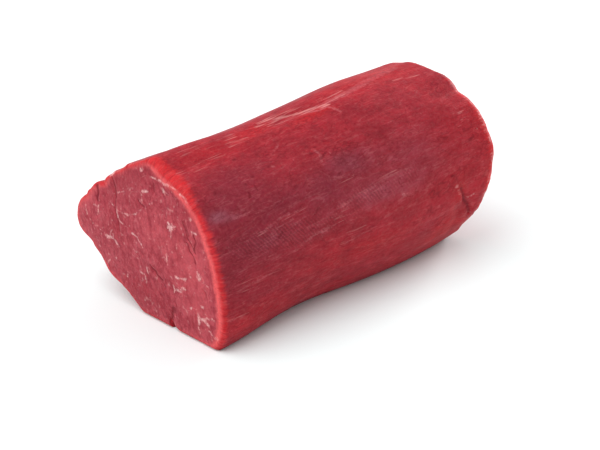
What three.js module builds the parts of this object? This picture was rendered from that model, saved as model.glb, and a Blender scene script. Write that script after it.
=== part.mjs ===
// A raw beef tenderloin, the middle cut: one trimmed muscle with a flat cut at each end, lying on its
// flattened side. Its fibres run along X. The near cut is at -X and the far cut at +X, +Y is the side
// of the thin tip, and Z is up. The origin is in the middle of the underside. Millimetres and degrees.
import * as THREE from "three";

// The driving sizes.
const LENGTH = 143;
const NEAR_RIM_RADIUS = 2.4; // how round the edge of each cut is
const FAR_RIM_RADIUS = 4.5;
const NEAR_CUT_CROWN = 1.2; // how far the middle of each cut swells out
const FAR_CUT_CROWN = 1.6;
const FLOOR_GIVE = 1.3; // how gently the underside meets what it lies on
const FLOOR_PRESS = 0.35; // how much of that give is pressed flat

// Each cut is a little out of square: its top leans, and its +Y side turns, towards +X.
const NEAR_CUT_SLANT = { top: 1.7, side: -0.5 };
const FAR_CUT_SLANT = { top: -1.3, side: 2.1 };

// A section across the fibres is a circle with four blunt corners on it. Each corner points towards
// an angle, counted from +Y up over the top, rises above the circle and spreads to either side.
const NEAR_SECTION = {
  across: 40.3,
  up: 33.8,
  radius: 31.5,
  corners: {
    tip: { towards: -1.7, rise: 12.9, spread: 15.4 },
    crown: { towards: 92.3, rise: 2.8, spread: 7.5 },
    shoulder: { towards: 144.3, rise: 6.1, spread: 32.3 },
    foot: { towards: 225.9, rise: 19.4, spread: 29.9 },
  },
};
const FAR_SECTION = {
  across: 30.8,
  up: 34.1,
  radius: 33.8,
  corners: {
    tip: { towards: 10, rise: 10, spread: 18 },
    crown: { towards: 119, rise: 11.3, spread: 31.3 },
    shoulder: { towards: 162.6, rise: 13.8, spread: 23.8 },
    foot: { towards: 229.3, rise: 13.8, spread: 47.8 },
  },
};

// Where the muscle swells or sinks. Along and reach are shares of the length, from the near cut.
const SWELLS = {
  waist: { along: 0.34, reach: 0.13, towards: 221, spread: 26, rise: -3.0 },
  belly: { along: 0.76, reach: 0.16, towards: 222, spread: 28, rise: 0.4 },
  flare: { along: 0.01, reach: 0.09, towards: 218, spread: 16, rise: 1.4 },
  saddle: { along: 0.31, reach: 0.12, towards: 89, spread: 30, rise: -1.6 },
  hollow: { along: 0.52, reach: 0.12, towards: 82, spread: 24, rise: -0.2 },
  ridge: { along: 0.7, reach: 0.1, towards: 93, spread: 30, rise: 1.2 },
  heel: { along: 1.02, reach: 0.1, towards: 230, spread: 30, rise: -2.2 },
  seam: { along: 0.0, reach: 0.33, towards: 246, spread: 3.4, rise: -13.5 },
  back: { along: 0.0, reach: 0.25, towards: 293, spread: 16, rise: -2.4 },
  valley: { along: 0.46, reach: 0.11, towards: 106, spread: 3.5, rise: -1.5 },
  fold: { along: 0.9, reach: 0.022, towards: 190, spread: 10, rise: -1.3 },
  flap: { along: 0.955, reach: 0.025, towards: 190, spread: 13, rise: 0.9 },
};

// Nicks and lumps in the edge of each cut, which fade out along the meat.
const NEAR_EDGE = {
  reach: 5,
  marks: [
    { towards: 351.2, spread: 5, rise: 1.5 },
    { towards: 342.7, spread: 2.2, rise: -1.3 },
    { towards: 319.8, spread: 9, rise: 2.1 },
    { towards: 12, spread: 2.4, rise: -1.0 },
    { towards: 24.8, spread: 5, rise: 1.4 },
    { towards: 32.3, spread: 2.6, rise: -1.1 },
    { towards: 60, spread: 4, rise: -0.6 },
  ],
};
const FAR_EDGE = {
  reach: 9,
  marks: [
    { towards: 123.3, spread: 4, rise: 1.0 },
    { towards: 132.7, spread: 2.4, rise: -1.2 },
    { towards: 146, spread: 4, rise: 0.3 },
    { towards: 155.4, spread: 2.2, rise: -0.5 },
    { towards: 163.6, spread: 4, rise: 0.6 },
    { towards: 171, spread: 2.2, rise: -0.4 },
    { towards: 195.4, spread: 5, rise: 0.7 },
    { towards: 250, spread: 4, rise: -0.9 },
    { towards: 305, spread: 4, rise: -1.1 },
    { towards: 345, spread: 3, rise: 0.8 },
    { towards: 20, spread: 3, rise: -1.0 },
    { towards: 62, spread: 4, rise: -0.8 },
  ],
};

// How finely the surface is divided.
const AROUND = 144;
const ALONG = 28;
const RIM_STEPS = 3;
const CUT_SHARES = [0.28, 0.56, 0.82]; // rings of a cut face, as shares of the way out to its edge

const toRadians = THREE.MathUtils.degToRad;
const mix = THREE.MathUtils.lerp;

// A smooth hill of height 1 at no distance, spread out by its width.
function hill(distance, width) {
  return Math.exp(-0.5 * (distance / width) ** 2);
}

// The angle from one direction to another, the short way round.
function turn(angle, towards) {
  return ((((angle - towards + 180) % 360) + 360) % 360) - 180;
}

// The distance from a section's middle to its edge, before the meat sags on to the floor.
function reachOut(along, angle) {
  let out = mix(NEAR_SECTION.radius, FAR_SECTION.radius, along);
  for (const name of Object.keys(NEAR_SECTION.corners)) {
    const near = NEAR_SECTION.corners[name];
    const far = FAR_SECTION.corners[name];
    const spread = mix(near.spread, far.spread, along);
    const towards = mix(near.towards, far.towards, along);
    out += mix(near.rise, far.rise, along) * hill(turn(angle, towards), spread);
  }
  for (const swell of Object.values(SWELLS)) {
    const lengthways = hill(along - swell.along, swell.reach);
    out += swell.rise * lengthways * hill(turn(angle, swell.towards), swell.spread);
  }
  for (const [edge, distance] of [[NEAR_EDGE, along * LENGTH], [FAR_EDGE, (1 - along) * LENGTH]]) {
    for (const mark of edge.marks) {
      out += mark.rise * hill(distance, edge.reach) * hill(turn(angle, mark.towards), mark.spread);
    }
  }
  return out;
}

// The middle of a section, as across and up.
function sectionMiddle(along) {
  return new THREE.Vector2(
    mix(NEAR_SECTION.across, FAR_SECTION.across, along),
    mix(NEAR_SECTION.up, FAR_SECTION.up, along),
  );
}

// The floor pushes the underside up: smoothly where it comes near, and flat where it rests.
function restOnFloor(height) {
  const smooth = FLOOR_GIVE * Math.log1p(Math.exp(height / FLOOR_GIVE));
  return Math.max(0, smooth - FLOOR_GIVE * FLOOR_PRESS);
}

// A point of a ring: on its section's edge, drawn in towards the middle by an inset, then by a
// share, and slid along by the slant of the cuts.
function ringPoint(ring, angle) {
  const along = THREE.MathUtils.clamp(ring.x / LENGTH, 0, 1);
  const middle = sectionMiddle(along);
  const out = reachOut(along, angle);
  const arm = new THREE.Vector2(
    out * Math.cos(toRadians(angle)),
    restOnFloor(middle.y + out * Math.sin(toRadians(angle))) - middle.y,
  );
  arm.multiplyScalar((1 - ring.inset / arm.length()) * ring.share);
  const top = mix(NEAR_CUT_SLANT.top, FAR_CUT_SLANT.top, along);
  const side = mix(NEAR_CUT_SLANT.side, FAR_CUT_SLANT.side, along);
  const slide = arm.y * Math.tan(toRadians(top)) + arm.x * Math.tan(toRadians(side));
  return [ring.x + slide, middle.x + arm.x, middle.y + arm.y];
}

// The rings of the surface from the middle of the near cut to the middle of the far cut: each has
// its place along the length, its inset on the rounded rim and its share of the cut face.
function rings() {
  const made = [];
  for (const share of CUT_SHARES) {
    made.push({ x: -NEAR_CUT_CROWN * (1 - share ** 2), inset: NEAR_RIM_RADIUS, share });
  }
  for (let step = 0; step < RIM_STEPS; step += 1) {
    const bend = (Math.PI / 2) * (step / RIM_STEPS);
    const x = NEAR_RIM_RADIUS * (1 - Math.cos(bend));
    made.push({ x, inset: NEAR_RIM_RADIUS * (1 - Math.sin(bend)), share: 1 });
  }
  for (let step = 0; step <= ALONG; step += 1) {
    const x = mix(NEAR_RIM_RADIUS, LENGTH - FAR_RIM_RADIUS, step / ALONG);
    made.push({ x, inset: 0, share: 1 });
  }
  for (let step = 1; step <= RIM_STEPS; step += 1) {
    const bend = (Math.PI / 2) * (step / RIM_STEPS);
    const x = LENGTH - FAR_RIM_RADIUS * (1 - Math.sin(bend));
    made.push({ x, inset: FAR_RIM_RADIUS * (1 - Math.cos(bend)), share: 1 });
  }
  for (const share of [...CUT_SHARES].reverse()) {
    made.push({ x: LENGTH + FAR_CUT_CROWN * (1 - share ** 2), inset: FAR_RIM_RADIUS, share });
  }
  return made;
}

// The closed surface: a grid of rings with a fan of triangles at the middle of each cut.
function tenderloinGeometry() {
  const positions = [];
  const triangles = [];
  const surfaceRings = rings();
  for (const ring of surfaceRings) {
    for (let step = 0; step < AROUND; step += 1) {
      positions.push(...ringPoint(ring, (360 * step) / AROUND));
    }
  }
  for (let ring = 0; ring + 1 < surfaceRings.length; ring += 1) {
    for (let step = 0; step < AROUND; step += 1) {
      const here = ring * AROUND + step;
      const beside = ring * AROUND + ((step + 1) % AROUND);
      triangles.push(here, beside, here + AROUND);
      triangles.push(beside, beside + AROUND, here + AROUND);
    }
  }
  const poles = [
    { along: 0, x: -NEAR_CUT_CROWN, first: 0, facesNear: true },
    { along: 1, x: LENGTH + FAR_CUT_CROWN, first: (surfaceRings.length - 1) * AROUND, facesNear: false },
  ];
  for (const pole of poles) {
    const middle = sectionMiddle(pole.along);
    const centre = positions.length / 3;
    positions.push(pole.x, middle.x, middle.y);
    for (let step = 0; step < AROUND; step += 1) {
      const here = pole.first + step;
      const beside = pole.first + ((step + 1) % AROUND);
      triangles.push(centre, ...(pole.facesNear ? [beside, here] : [here, beside]));
    }
  }
  const geometry = new THREE.BufferGeometry();
  geometry.setAttribute("position", new THREE.Float32BufferAttribute(positions, 3));
  geometry.setIndex(triangles);
  return geometry;
}

// Moves the origin to the middle of the underside.
function standOnOrigin(geometry) {
  geometry.computeBoundingBox();
  const { min, max } = geometry.boundingBox;
  geometry.translate(-(min.x + max.x) / 2, -(min.y + max.y) / 2, -min.z);
  geometry.computeVertexNormals();
  return geometry;
}

// Moist raw muscle with its silver skin trimmed off.
function rawBeef() {
  return new THREE.MeshStandardMaterial({ color: 0xa23a42, roughness: 0.42, metalness: 0 });
}

const group = new THREE.Group();
const tenderloin = new THREE.Mesh(standOnOrigin(tenderloinGeometry()), rawBeef());
tenderloin.name = "tenderloin";
group.add(tenderloin);

export default group;
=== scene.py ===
"""A raw beef tenderloin, the trimmed middle cut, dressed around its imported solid.

The meat is one closed surface: the solid's own form worked out much finer, with the relief of its
fibres, frayed edges and creases, and with attributes that say where each finish lies.
Sizes are in millimetres until a mesh is made, which is in metres. Angles are in degrees, counted
from +Y up over the top. Places along the meat are counted from the near cut: in shares of its
length in the form, and in millimetres where marks and patches lie.
"""
import logging
import math
from collections.abc import Sequence
from dataclasses import dataclass
from enum import Enum

import bpy
import numpy as np
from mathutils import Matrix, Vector


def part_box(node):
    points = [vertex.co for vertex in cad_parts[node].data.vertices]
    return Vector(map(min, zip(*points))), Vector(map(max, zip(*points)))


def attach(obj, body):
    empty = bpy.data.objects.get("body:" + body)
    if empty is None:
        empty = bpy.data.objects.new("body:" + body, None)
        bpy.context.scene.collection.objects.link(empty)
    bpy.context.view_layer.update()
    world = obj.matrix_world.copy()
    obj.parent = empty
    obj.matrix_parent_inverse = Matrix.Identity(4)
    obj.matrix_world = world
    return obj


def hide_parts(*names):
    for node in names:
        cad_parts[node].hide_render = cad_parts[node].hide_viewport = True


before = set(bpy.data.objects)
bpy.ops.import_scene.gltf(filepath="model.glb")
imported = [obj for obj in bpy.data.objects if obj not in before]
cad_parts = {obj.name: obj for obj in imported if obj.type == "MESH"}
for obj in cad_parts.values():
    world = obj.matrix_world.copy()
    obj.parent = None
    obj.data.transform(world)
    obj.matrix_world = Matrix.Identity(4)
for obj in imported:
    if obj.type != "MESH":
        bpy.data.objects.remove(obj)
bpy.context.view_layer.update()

LOG = logging.getLogger("tenderloin")
MM = 0.001
TINY = 1e-9  # keeps a division by a length from failing

Range = tuple[float, float]


class Cut(Enum):
    """The two flat cuts of the piece."""

    NEAR = "near"
    FAR = "far"


def hill(distance: np.ndarray, width: float) -> np.ndarray:
    """A smooth hill of height 1 at no distance: e to the minus half of (distance / width) squared."""
    return np.exp(-0.5 * (distance / width) ** 2)


def turn(angle: np.ndarray, towards: float) -> np.ndarray:
    """The angle from one direction to another, the short way round, in degrees."""
    return (angle - towards + 180.0) % 360.0 - 180.0


def blend(near: float, far: float, along: np.ndarray) -> np.ndarray:
    """A size that changes evenly from the near cut to the far one."""
    return near + (far - near) * along


def smooth_step(value: np.ndarray, low: float, high: float) -> np.ndarray:
    """Rises smoothly from 0 at low to 1 at high: t squared times (3 - 2t)."""
    share = np.clip((value - low) / (high - low), 0.0, 1.0)
    return share * share * (3.0 - 2.0 * share)


def lattice_noise(u: np.ndarray, v: np.ndarray, cells: tuple[int, int], seed: int) -> np.ndarray:
    """Smooth noise from -1 to 1, with one random value at each whole (u, v) of a lattice.

    Between the lattice's points the values are blended by t cubed times (t (6t - 15) + 10), first
    along u and then along v. The lattice repeats after its number of cells each way.

    Args:
        u: places along the first direction, in cells.
        v: places along the second direction, in cells.
        cells: how many cells the lattice has each way before it repeats.
        seed: chooses the random values.

    Returns:
        The noise at each place, in an array of the same shape.
    """
    values = np.random.default_rng(seed).uniform(-1.0, 1.0, cells)
    low_u, low_v = np.floor(u).astype(int), np.floor(v).astype(int)
    part_u, part_v = u - low_u, v - low_v
    blend_u = part_u**3 * (part_u * (6.0 * part_u - 15.0) + 10.0)
    blend_v = part_v**3 * (part_v * (6.0 * part_v - 15.0) + 10.0)
    here_u, next_u = low_u % cells[0], (low_u + 1) % cells[0]
    here_v, next_v = low_v % cells[1], (low_v + 1) % cells[1]
    near = values[here_u, here_v] * (1.0 - blend_u) + values[next_u, here_v] * blend_u
    far = values[here_u, next_v] * (1.0 - blend_u) + values[next_u, next_v] * blend_u
    return near * (1.0 - blend_v) + far * blend_v


FADE_MM = 1.0  # how far from a mark's edge its closeness falls to nothing
FAINT = 0.7  # the closeness at which a mark only just shows


@dataclass(frozen=True)
class Stroke:
    """A mark drawn on a surface: a line through a few points, with a half width in millimetres."""

    points: tuple[tuple[float, float], ...]
    half_width: float
    strength: float = 1.0

    def closeness(self, across: np.ndarray, up: np.ndarray) -> np.ndarray:
        """How close each place is to the line.

        It is 1 within the half width of a line at full strength, nearer to faint on a weaker one,
        and falls evenly to nothing from there. The distance to a straight stretch is the distance
        to its nearest point.

        Args:
            across: the places' first coordinate, in millimetres.
            up: their second coordinate, in millimetres.

        Returns:
            The closeness, from 0 to 1.
        """
        distance = np.full(across.shape, np.inf)
        points = self.points if len(self.points) > 1 else self.points * 2
        for (start_a, start_u), (end_a, end_u) in zip(points, points[1:]):
            run_a, run_u = end_a - start_a, end_u - start_u
            square = max(run_a * run_a + run_u * run_u, TINY)
            share = ((across - start_a) * run_a + (up - start_u) * run_u) / square
            share = np.clip(share, 0.0, 1.0)
            off_a = across - start_a - share * run_a
            off_u = up - start_u - share * run_u
            distance = np.minimum(distance, np.hypot(off_a, off_u))
        outside = np.maximum(distance - self.half_width, 0.0)
        peak = FAINT + (1.0 - FAINT) * self.strength
        return peak * np.clip(1.0 - outside / FADE_MM, 0.0, 1.0)


@dataclass(frozen=True)
class Waver:
    """How drawn lines stray from straight: how far in millimetres, and over what lengths."""

    amount: float
    length_across: float
    length_up: float
    cells: tuple[int, int] = (128, 256)
    seeds: tuple[int, int] = (61, 62)

    def moved(self, across: np.ndarray, up: np.ndarray) -> tuple[np.ndarray, np.ndarray]:
        """The places, each moved a little both ways by lattice noise.

        Args:
            across: the places' first coordinate, in millimetres.
            up: their second coordinate, in millimetres.

        Returns:
            Both coordinates of the moved places.
        """
        cell_a, cell_u = across / self.length_across, up / self.length_up
        moves = [self.amount * lattice_noise(cell_a, cell_u, self.cells, seed) for seed in self.seeds]
        return across + moves[0], up + moves[1]


ON_CUTS = Waver(0.55, 2.4, 2.4)
ON_SIDES = Waver(0.4, 16.0, 4.0)  # long, as the marks there follow the fibres


def closest(
    strokes: Sequence[Stroke], across: np.ndarray, up: np.ndarray, waver: Waver = ON_SIDES
) -> np.ndarray:
    """The greatest closeness of each place to any of the strokes, which waver.

    Args:
        strokes: the marks.
        across: the places' first coordinate, in millimetres.
        up: their second coordinate, in millimetres.
        waver: how the lines stray.

    Returns:
        The closeness, from 0 to 1.
    """
    across, up = waver.moved(across, up)
    found = np.zeros(across.shape)
    for stroke in strokes:
        found = np.maximum(found, stroke.closeness(across, up))
    return found


@dataclass(frozen=True)
class Corner:
    """A blunt corner of a section: the angle it points towards, its rise and its spread."""

    towards: float
    rise: float
    spread: float


@dataclass(frozen=True)
class Section:
    """A section across the fibres: a circle around a middle, with four blunt corners."""

    across: float
    up: float
    radius: float
    tip: Corner
    crown: Corner
    shoulder: Corner
    foot: Corner

    @property
    def corners(self) -> tuple[Corner, ...]:
        """The four corners in order."""
        return self.tip, self.crown, self.shoulder, self.foot


@dataclass(frozen=True)
class Swell:
    """A place where the muscle swells or sinks, with its reach along and its spread around."""

    along: float
    reach: float
    towards: float
    spread: float
    rise: float


@dataclass(frozen=True)
class Grid:
    """The surface before its relief: a grid of rings by angles, near cut first."""

    points: np.ndarray
    along: np.ndarray
    angle: np.ndarray
    girth: np.ndarray
    near_gap: np.ndarray
    far_gap: np.ndarray


@dataclass(frozen=True)
class MuscleForm:
    """The form of the meat, with the sizes of its solid.

    A section's edge is a circle with four blunt corners, and it changes evenly from the near
    section to the far one. Swells, and nicks in the edges of the cuts, are smooth hills on it. The
    floor presses the underside flat, and each cut leans and turns a little out of square.
    """

    length: float = 143.0
    near_rim_radius: float = 2.4
    far_rim_radius: float = 4.5
    near_cut_crown: float = 1.2
    far_cut_crown: float = 1.6
    floor_give: float = 1.3
    floor_press: float = 0.35
    near_slant: tuple[float, float] = (1.7, -0.5)
    far_slant: tuple[float, float] = (-1.3, 2.1)
    near: Section = Section(
        across=40.3,
        up=33.8,
        radius=31.5,
        tip=Corner(-1.7, 12.9, 15.4),
        crown=Corner(92.3, 2.8, 7.5),
        shoulder=Corner(144.3, 6.1, 32.3),
        foot=Corner(225.9, 19.4, 29.9),
    )
    far: Section = Section(
        across=30.8,
        up=34.1,
        radius=33.8,
        tip=Corner(10.0, 10.0, 18.0),
        crown=Corner(119.0, 11.3, 31.3),
        shoulder=Corner(162.6, 13.8, 23.8),
        foot=Corner(229.3, 13.8, 47.8),
    )
    waist: Swell = Swell(0.34, 0.13, 221.0, 26.0, -3.0)
    belly: Swell = Swell(0.76, 0.16, 222.0, 28.0, 0.4)
    flare: Swell = Swell(0.01, 0.09, 218.0, 16.0, 1.4)
    saddle: Swell = Swell(0.31, 0.12, 89.0, 30.0, -1.6)
    hollow: Swell = Swell(0.52, 0.12, 82.0, 24.0, -0.2)
    ridge: Swell = Swell(0.7, 0.1, 93.0, 30.0, 1.2)
    heel: Swell = Swell(1.02, 0.1, 230.0, 30.0, -2.2)
    seam: Swell = Swell(0.0, 0.33, 246.0, 3.4, -13.5)
    back: Swell = Swell(0.0, 0.25, 293.0, 16.0, -2.4)
    valley: Swell = Swell(0.46, 0.11, 106.0, 3.5, -1.5)
    fold: Swell = Swell(0.9, 0.022, 190.0, 10.0, -1.3)
    flap: Swell = Swell(0.955, 0.025, 190.0, 13.0, 0.9)
    near_edge_reach: float = 5.0
    near_edge: tuple[Corner, ...] = (
        Corner(351.2, 1.5, 5.0),
        Corner(342.7, -1.3, 2.2),
        Corner(319.8, 2.1, 9.0),
        Corner(12.0, -1.0, 2.4),
        Corner(24.8, 1.4, 5.0),
        Corner(32.3, -1.1, 2.6),
        Corner(60.0, -0.6, 4.0),
    )
    far_edge_reach: float = 9.0
    far_edge: tuple[Corner, ...] = (
        Corner(123.3, 1.0, 4.0),
        Corner(132.7, -1.2, 2.4),
        Corner(146.0, 0.3, 4.0),
        Corner(155.4, -0.5, 2.2),
        Corner(163.6, 0.6, 4.0),
        Corner(171.0, -0.4, 2.2),
        Corner(195.4, 0.7, 5.0),
        Corner(250.0, -0.9, 4.0),
        Corner(305.0, -1.1, 4.0),
        Corner(345.0, 0.8, 3.0),
        Corner(20.0, -1.0, 3.0),
        Corner(62.0, -0.8, 4.0),
    )
    steps_around: int = 384
    steps_along: int = 136
    rim_steps: int = 6
    near_cut_steps: int = 84
    far_cut_steps: int = 22

    @property
    def swells(self) -> tuple[Swell, ...]:
        """All the swells."""
        top = (self.saddle, self.hollow, self.ridge, self.valley, self.waist, self.belly)
        return (*top, self.flare, self.heel, self.seam, self.back, self.fold, self.flap)

    def reach_out(self, along: np.ndarray, angle: np.ndarray) -> np.ndarray:
        """The distance from a section's middle to its edge, before the floor presses on it.

        It is the radius plus every corner's rise times a hill of the turn from it, plus the swells
        and the edge marks, each also times a hill of the distance along.

        Args:
            along: shares of the length.
            angle: directions, in degrees.

        Returns:
            The distances in millimetres.
        """
        out = blend(self.near.radius, self.far.radius, along) + 0.0 * angle
        for near, far in zip(self.near.corners, self.far.corners):
            towards = blend(near.towards, far.towards, along)
            spread = blend(near.spread, far.spread, along)
            out = out + blend(near.rise, far.rise, along) * hill(turn(angle, towards), spread)
        for swell in self.swells:
            lengthways = hill(along - swell.along, swell.reach)
            out = out + swell.rise * lengthways * hill(turn(angle, swell.towards), swell.spread)
        for marks, reach, gap in (
            (self.near_edge, self.near_edge_reach, along * self.length),
            (self.far_edge, self.far_edge_reach, (1.0 - along) * self.length),
        ):
            for mark in marks:
                out = out + mark.rise * hill(gap, reach) * hill(turn(angle, mark.towards), mark.spread)
        return out

    def rest_on_floor(self, height: np.ndarray) -> np.ndarray:
        """Heights after the floor pushes up: give times log(1 + e^(height / give)), less the press."""
        smooth = self.floor_give * np.logaddexp(0.0, height / self.floor_give)
        return np.maximum(0.0, smooth - self.floor_give * self.floor_press)

    def ring_places(self) -> tuple[np.ndarray, np.ndarray, np.ndarray]:
        """Where the rings lie, from the middle of the near cut to the middle of the far cut.

        A cut's rings step out from its middle, on a crown that falls with the square of the way
        out. The rims follow a quarter circle, and the rings between them are evenly spaced.

        Returns:
            Each ring's place along in millimetres, its inset on the rounded rim in millimetres,
            and its share of the way out from the middle of the cut.
        """
        near_share = np.linspace(0.0, 1.0, self.near_cut_steps, endpoint=False)
        far_share = np.linspace(0.0, 1.0, self.far_cut_steps, endpoint=False)[::-1]
        bend = np.linspace(0.0, math.pi / 2, self.rim_steps + 1)
        body = np.linspace(self.near_rim_radius, self.length - self.far_rim_radius, self.steps_along)
        x = [
            -self.near_cut_crown * (1.0 - near_share**2),
            self.near_rim_radius * (1.0 - np.cos(bend[:-1])),
            body,
            self.length - self.far_rim_radius * (1.0 - np.sin(bend[1:])),
            self.length + self.far_cut_crown * (1.0 - far_share**2),
        ]
        inset = [
            np.full(near_share.shape, self.near_rim_radius),
            self.near_rim_radius * (1.0 - np.sin(bend[:-1])),
            np.zeros(body.shape),
            self.far_rim_radius * (1.0 - np.cos(bend[1:])),
            np.full(far_share.shape, self.far_rim_radius),
        ]
        share = [near_share, np.ones(self.rim_steps + self.steps_along + self.rim_steps), far_share]
        return np.concatenate(x), np.concatenate(inset), np.concatenate(share)

    def grid(self) -> Grid:
        """Works out the smooth surface and where each of its points lies on the meat.

        A point is the section's middle plus an arm out to its edge, shortened by the inset and by
        the share, and slid along by the slant of the cuts. Its girth is its place around the
        section by arc length, from 0 to 1. Its gap from each cut's edge is measured over the
        surface from the middle of the rounded rim, below zero on the cut.

        Returns:
            The grid, with its first and last rings gathered at the middles of the cuts.
        """
        x, inset, share = (row[:, None] for row in self.ring_places())
        angle = (np.arange(self.steps_around) * 360.0 / self.steps_around)[None, :]
        along = np.clip(x / self.length, 0.0, 1.0)
        middle_y = blend(self.near.across, self.far.across, along)
        middle_z = blend(self.near.up, self.far.up, along)
        out = self.reach_out(along, angle)
        arm_y = out * np.cos(np.radians(angle))
        arm_z = self.rest_on_floor(middle_z + out * np.sin(np.radians(angle))) - middle_z
        steps = np.hypot(arm_y - np.roll(arm_y, 1, 1), arm_z - np.roll(arm_z, 1, 1))
        girth = np.cumsum(steps, 1) / steps.sum(1, keepdims=True)
        reach = np.hypot(arm_y, arm_z)
        kept = (1.0 - inset / reach) * share
        arm_y, arm_z = arm_y * kept, arm_z * kept
        top, side = (blend(near, far, along) for near, far in zip(self.near_slant, self.far_slant))
        slide = arm_z * np.tan(np.radians(top)) + arm_y * np.tan(np.radians(side))
        gaps = []
        for rim, depth in ((self.near_rim_radius, x), (self.far_rim_radius, self.length - x)):
            half_turn = rim * math.pi / 4
            bend = np.arccos(np.clip(1.0 - depth / rim, 0.0, 1.0))
            inwards = (1.0 - share) * (reach - rim) * (depth <= 0.0)
            gaps.append(np.maximum(depth - rim, 0.0) + rim * bend - half_turn - inwards)
        return Grid(
            points=np.stack([x + slide, middle_y + arm_y, middle_z + arm_z], -1),
            along=np.broadcast_to(along, reach.shape),
            angle=np.broadcast_to(angle, reach.shape),
            girth=girth,
            near_gap=gaps[0],
            far_gap=gaps[1],
        )


def normals_of(points: np.ndarray) -> np.ndarray:
    """The outward normals of a grid of rings by angles.

    Each is the cross product of the step along and the step around, which is taken across both
    neighbours. The gathered rings at the middles of the cuts face straight along the meat.

    Args:
        points: the grid's points, rings first.

    Returns:
        Unit normals in an array of the same shape.
    """
    along = np.gradient(points, axis=0)
    around = np.roll(points, -1, 1) - np.roll(points, 1, 1)
    normal = np.cross(around, along)
    normal[0] = (-1.0, 0.0, 0.0)
    normal[-1] = (1.0, 0.0, 0.0)
    return normal / np.maximum(np.linalg.norm(normal, axis=-1, keepdims=True), TINY)


GIRTH_MM = 270.0  # the usual girth of the meat
MM_PER_DEGREE = GIRTH_MM / 360.0


def on_side(half_width: float, strength: float, *places: tuple[float, float]) -> Stroke:
    """A stroke on the outside, through places given as (mm from the near cut, degrees around)."""
    points = tuple((along, angle * MM_PER_DEGREE) for along, angle in places)
    return Stroke(points, half_width, strength)


def on_cut(half_width: float, strength: float, *places: tuple[float, float]) -> Stroke:
    """A stroke on the near cut, through places given as (mm across, mm up)."""
    return Stroke(places, half_width, strength)


@dataclass(frozen=True)
class Ripple:
    """Relief of lattice noise laid along the meat, with cells of a length and a width.

    Sizes are in millimetres. The cells go round the meat a whole number of times.
    """

    length: float
    width: float
    height: float
    seed: int
    cells_along: int = 64

    def over(self, x: np.ndarray, girth: np.ndarray) -> np.ndarray:
        """The heights at places given in mm from the near cut and as shares of the girth."""
        cells = (self.cells_along, round(GIRTH_MM / self.width))
        return self.height * lattice_noise(x / self.length, girth * cells[1], cells, self.seed)


@dataclass(frozen=True)
class Patch:
    """A soft patch of another colour: where it lies, how far it goes and how strong it is.

    On the outside its middle is in mm from the near cut and degrees around. It reaches in mm along
    and spreads in degrees around, as smooth hills do. On a cut, both ways are in mm: across and up.
    """

    along: float
    towards: float
    reach: float
    spread: float
    strength: float

    def share(self, x: np.ndarray, angle: np.ndarray) -> np.ndarray:
        """The patch's share of each place: its strength times a hill along and a hill around."""
        lengthways = hill(x - self.along, self.reach)
        return self.strength * lengthways * hill(turn(angle, self.towards), self.spread)


def patchwork(patches: Sequence[Patch], x: np.ndarray, angle: np.ndarray) -> np.ndarray:
    """The joint share of patches: 1 less the product of what each of them leaves bare.

    Args:
        patches: the patches.
        x: places in mm from the near cut, or across a cut.
        angle: the same places in degrees around, or in mm up a cut.

    Returns:
        The share of each place that is covered.
    """
    bare = np.ones(x.shape)
    for patch in patches:
        bare = bare * (1.0 - patch.share(x, angle))
    return 1.0 - bare


BACK: Range = (250.0, 436.0)  # from where to where the back and the underside lie


@dataclass(frozen=True)
class BackMarks:
    """Marks scattered on the back and the underside, which are finished like the shown side.

    Each is a short line along the fibres with a small bend. Its start in millimetres, its length
    and half width as shares of the greatest, its bend and lean in degrees and its strength are
    drawn with a seed, each from its range.
    """

    count: int
    length: float
    half_width: float
    seed: int
    starts: Range = (6.0, 130.0)
    lengths: Range = (0.3, 1.0)
    bends: Range = (-1.0, 1.0)
    leans: Range = (-2.0, 2.0)
    half_widths: Range = (0.5, 1.0)
    strengths: Range = (0.5, 1.0)

    def strokes(self) -> list[Stroke]:
        """Draws the marks.

        Returns:
            Their strokes on the outside.
        """
        draw = np.random.default_rng(self.seed)
        made = []
        for _ in range(self.count):
            along, angle = draw.uniform(*self.starts), draw.uniform(*BACK) % 360.0
            run = draw.uniform(*self.lengths) * self.length
            bend, lean = draw.uniform(*self.bends), draw.uniform(*self.leans)
            half_width = draw.uniform(*self.half_widths) * self.half_width
            strength = draw.uniform(*self.strengths)
            places = ((along, angle), (along + run / 2, angle + bend), (along + run, angle + lean))
            made.append(on_side(half_width, strength, *places))
        return made


@dataclass(frozen=True)
class BackPatches:
    """Patches scattered on the back and the underside, each drawn with a seed from its ranges."""

    count: int
    seed: int
    starts: Range = (5.0, 138.0)
    reaches: Range = (5.0, 16.0)
    spreads: Range = (3.0, 9.0)
    strengths: Range = (0.15, 0.4)

    def patches(self) -> list[Patch]:
        """Draws the patches.

        Returns:
            The patches, which lie on the outside.
        """
        draw = np.random.default_rng(self.seed)
        ranges = (self.starts, BACK, self.reaches, self.spreads, self.strengths)
        return [Patch(*(draw.uniform(*limits) for limits in ranges)) for _ in range(self.count)]


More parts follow.
